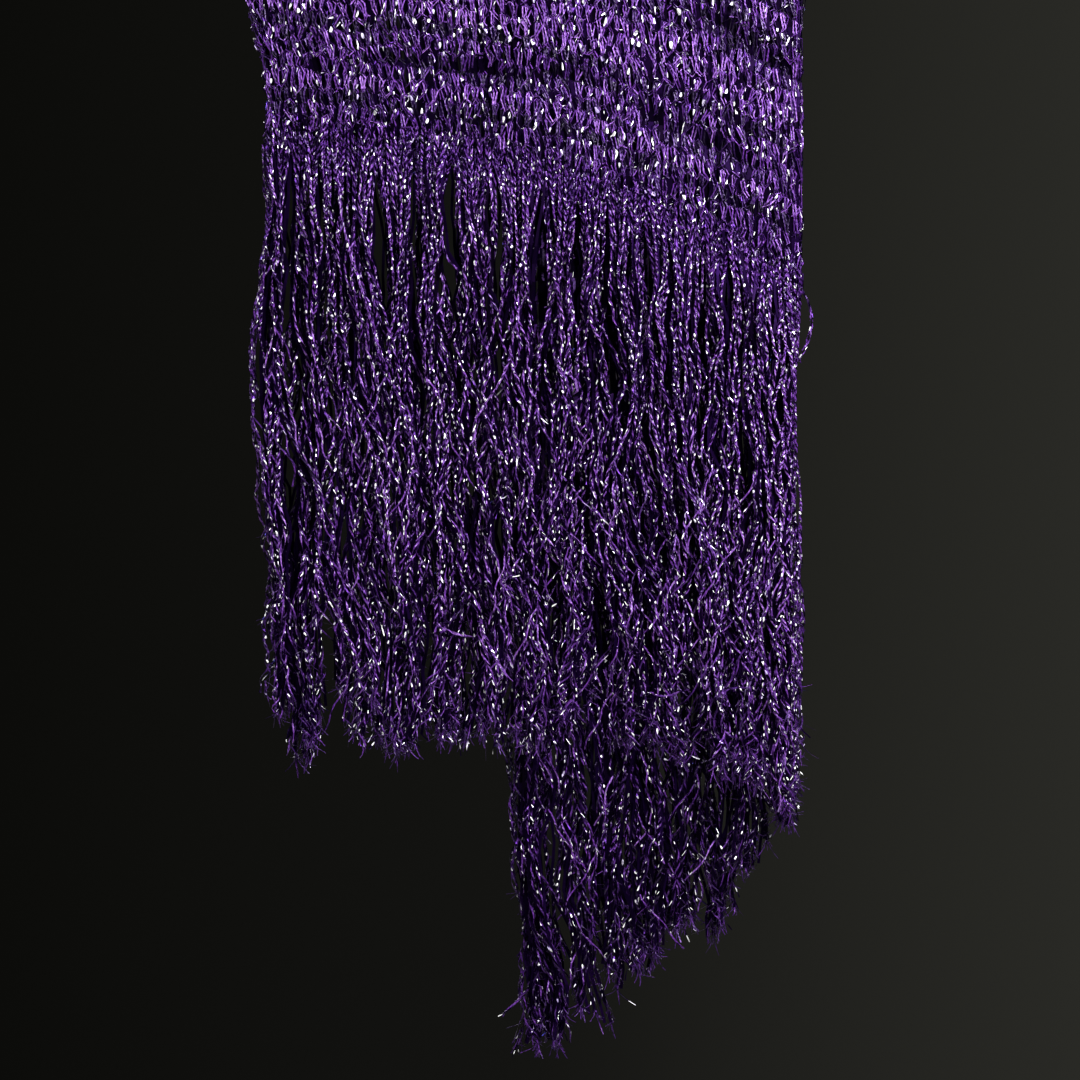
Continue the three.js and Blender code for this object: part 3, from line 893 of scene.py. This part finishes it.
def frays(lines, side, full):
    """Ends of film, brushes of filament at the tips and a fuzz of split filament round them."""
    paths, facing = loose_ends(lines, side, 3, 7, 0.8, 0.45, 5)
    parts = [film(paths, 0.7, facing, 0.6, 0.42, swell=1.2)]
    # How many to a strand, their reach, how wild they are, the share they grow from, points and width.
    brush = (4, 7.5, 0.45, 0.04, 5, 0.7)
    fuzz = (15 if full else 4, 3.8, 1.2, 0.2, 3, 0.3)
    for each, reach, wild, low, steps, width in (brush, fuzz):
        paths, facing = loose_ends(lines, side, each, reach, wild, low, steps)
        tone = chance.uniform(0.05, 0.6, (len(paths), 1))
        parts.append(ply(paths, width * (1 - 0.5 * np.linspace(0, 1, steps)), facing, tone))
    return join(parts)


def wisps(lines, side, count):
    """Filaments and film that have slipped out of their strands and hang across the others."""
    share = np.linspace(0, 1, WISP_POINTS)[None]
    which = chance.integers(0, len(lines), count)
    place = (chance.uniform(*WISP_PLACES, count) * (lines.shape[1] - 1)).astype(int)
    start = lines[which, place]
    left = start[:, 2:] - lines[which, -1, 2:]
    fall = np.minimum(chance.uniform(*WISP_FALLS, (count, 1)), left) * share
    lean = np.clip(chance.normal(0.05, 0.4, (count, 1)), -0.8, 0.8)
    # Near the fringe's sides they lean inwards.
    aside = start[:, :1] - (lines[..., 0].max() + lines[..., 0].min()) / 2
    lean = np.where(np.abs(aside) > 0.7 * np.abs(aside).max(), -np.sign(aside) * np.abs(lean), lean)
    curve = chance.normal(0, 0.004, (count, 1))
    x = start[:, :1] + lean * fall + curve * fall * fall + 0.9 * np.sin(fall / 2.9 + start[:, :1])
    facing = outward_from(side)
    y = start[:, 1:2] + facing[1] * 3.0 * np.sin(np.pi * share)
    paths = np.stack([x, y, start[:, 2:] - fall], axis=-1)
    facing = np.broadcast_to(facing, paths.shape)
    thread = ply(paths, 0.7, facing, chance.uniform(0.3, 0.95, (count, 1)))
    shift = 0.5 * np.stack([np.cos(fall / 1.6), np.sin(fall / 1.6), np.zeros_like(fall)], axis=-1)
    return join([thread, film(paths + shift, 0.8 * FILM, facing, 1.3, 0.6)])


def strays():
    """The strands that lie across the front, from their table."""
    bundles = []
    for out, places in STRAYS:
        knots = np.array(places, dtype=float)
        length = np.linalg.norm(np.diff(knots, axis=0), axis=1).sum()
        t = np.linspace(0, len(knots) - 1, max(6, int(length / STRAY_STEP)))
        x, z = (
            np.mean([np.interp(t + d, np.arange(len(knots)), knots[:, k]) for d in (-0.3, 0, 0.3)], axis=0)
            for k in (0, 1)
        )
        y = -out + 0.6 * np.sin(1.7 * t)
        bundles.append(strands(np.stack([x, y, z], axis=-1)[None], "front", True, 0.75, 0.9, ()))
    return join(bundles)


def fringe(side, panel):
    """The fringe below one width of the hem: its strands, their frayed ends and what hangs across them."""
    count, step, full = FRINGES[side, panel]
    low, high = (0.0, FOLD_MIDDLE) if panel == "outer" else (FOLD_MIDDLE, CLOTH_WIDTH)
    places = low + (np.arange(count) + chance.uniform(0.1, 0.9, count)) / count * (high - low)
    lines = strand_lines(side, panel, places, step)
    # The front's outer strands are made in two pieces, which keeps each piece small.
    halves = ["_1", "_2"] if (side, panel) == ("front", "outer") else [""]
    solid = f"{side}_fringe_{panel}"
    made = {}
    for half, some in zip(halves, np.array_split(lines, len(halves))):
        made[f"{solid}_strands{half}"] = strands(some, side, full, *YARN_SHOWN[side, panel])
    made[f"{solid}_frays"] = frays(lines, side, full)
    made[f"{solid}_wisps"] = wisps(lines, side, count if full else count // 2)
    if (side, panel) == ("front", "outer"):
        made[f"{solid}_strays"] = strays()
    pieces = [make_piece(name, yarn) for name, yarn in made.items()]
    for piece in pieces:
        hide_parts(solid)
    return pieces


# --- The shawl -------------------------------------------------------------------------------------

fringes = {(side, panel): fringe(side, panel) for side, panel in FRINGES}

# Patches of knit: name, wales, courses, whether it is fine, and the solid that each stands for.
PATCHES = [
    ("front_hem_knit_outer", (0, FOLD_WALE), (0, HEM_COURSES), True, "front_fall"),
    ("front_hem_knit_inner", (FOLD_WALE, WALES), (0, HEM_COURSES), False, "front_fall"),
    ("front_knit_outer", (0, FOLD_WALE), (HEM_COURSES, TURN_COURSES[0]), False, "front_fall"),
    ("front_knit_inner", (FOLD_WALE, WALES), (HEM_COURSES, TURN_COURSES[0]), False, "front_fall"),
    ("rail_knit", (0, WALES), TURN_COURSES, False, "rail_turn"),
    ("rear_knit", (0, WALES), (TURN_COURSES[1], COURSES), False, "rear_fall"),
]

for name, wales, courses, fine, solid in PATCHES:
    core, wound = knit(wales, courses, fine)
    patch = make_piece(name, core)
    tape = make_piece(name + "_film", wound)
    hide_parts(solid)
    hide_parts(solid)


# --- Floor, lamps and camera ----------------------------------------------------------------------
# From here on, places and sizes are in metres.

FLOOR_Z = -1.9
FLOOR_SIZE = 7.0
# The lamps: place, where they point, size and watts.
LAMPS = {
    "key": ((0.5, -0.64, -0.12), (0.06, 0, -0.8), 0.3, 36),
    "fill": ((-1.3, -1.2, -0.6), (0, 0, -0.8), 0.8, 7),
    "back": ((-1.0, 1.6, 0.1), (0, 0, -0.5), 0.8, 65),
    "top": ((0.3, -0.2, 1.1), (0, 0, -0.3), 0.7, 9),
}
VIEW_CENTRE = (0.004, -0.895)
VIEW_WIDTH = 0.54
CAMERA_DISTANCE = 1.4
SENSOR_WIDTH = 36.0  # in millimetres, as the lens is


def painted_floor():
    """Pale matt paint, rolled, with the faint mottle of a roller at about 15 mm."""
    material, tree = new_material("pale_matt_paint")
    mottles_per_m = 65.0
    place = add(tree, "ShaderNodeTexCoord")
    mottle = add(
        tree, "ShaderNodeTexNoise", [("Vector", place.outputs["Object"])], Scale=mottles_per_m, Detail=3.0
    )
    ramp = add(tree, "ShaderNodeValToRGB", [("Fac", mottle.outputs["Fac"])])
    set_ramp(ramp, [(0.35, "#C9C7C3"), (0.65, "#D2D0CC")])
    surface = add(tree, "ShaderNodeBsdfPrincipled", [("Base Color", ramp.outputs["Color"])], Roughness=0.85)
    add(tree, "ShaderNodeOutputMaterial", [("Surface", surface.outputs["BSDF"])])
    return material


def dark_room():
    """The room behind, a little lighter towards the right."""
    world = bpy.data.worlds.new("studio")
    world.use_nodes = True
    tree = world.node_tree
    way = add(tree, "ShaderNodeTexCoord")
    parts = add(tree, "ShaderNodeSeparateXYZ", [("Vector", way.outputs["Generated"])])
    across = scaled(tree, parts.outputs["X"], (-0.3, 0.3), (0.0, 1.0))
    ramp = add(tree, "ShaderNodeValToRGB", [("Fac", across)])
    set_ramp(ramp, [(0.15, "#0B0B09"), (0.5, "#141412"), (0.85, "#2B2B27")])
    tree.links.new(ramp.outputs["Color"], tree.nodes["Background"].inputs["Color"])
    tree.nodes["Background"].inputs["Strength"].default_value = 1.0
    return world


def soft_box(name, place, target, size, watts):
    lamp = bpy.data.lights.new(name, "AREA")
    lamp.shape = "SQUARE"
    lamp.size = size
    lamp.energy = watts
    holder = bpy.data.objects.new(name, lamp)
    holder.location = place
    holder.rotation_euler = (Vector(target) - Vector(place)).to_track_quat("-Z", "Y").to_euler()
    bpy.context.scene.collection.objects.link(holder)


def level_camera():
    """A camera level with the hem, which looks straight at the front."""
    lens = bpy.data.cameras.new("camera")
    lens.sensor_width = SENSOR_WIDTH
    lens.lens = SENSOR_WIDTH * CAMERA_DISTANCE / VIEW_WIDTH
    lens.clip_start, lens.clip_end = 0.05, 50
    camera = bpy.data.objects.new("camera", lens)
    camera.location = (VIEW_CENTRE[0], -CAMERA_DISTANCE - OUTER_LAYER * MM, VIEW_CENTRE[1])
    camera.rotation_euler = (math.pi / 2, 0, 0)
    bpy.context.scene.collection.objects.link(camera)
    return camera


bpy.ops.mesh.primitive_plane_add(size=FLOOR_SIZE, location=(0, 0, FLOOR_Z))
floor = bpy.context.object
floor.name = "floor"
floor.data.materials.append(painted_floor())

for name, lamp in LAMPS.items():
    soft_box(name, *lamp)
bpy.context.scene.world = dark_room()
bpy.context.scene.view_settings.view_transform = "Standard"
bpy.context.scene.camera = level_camera()
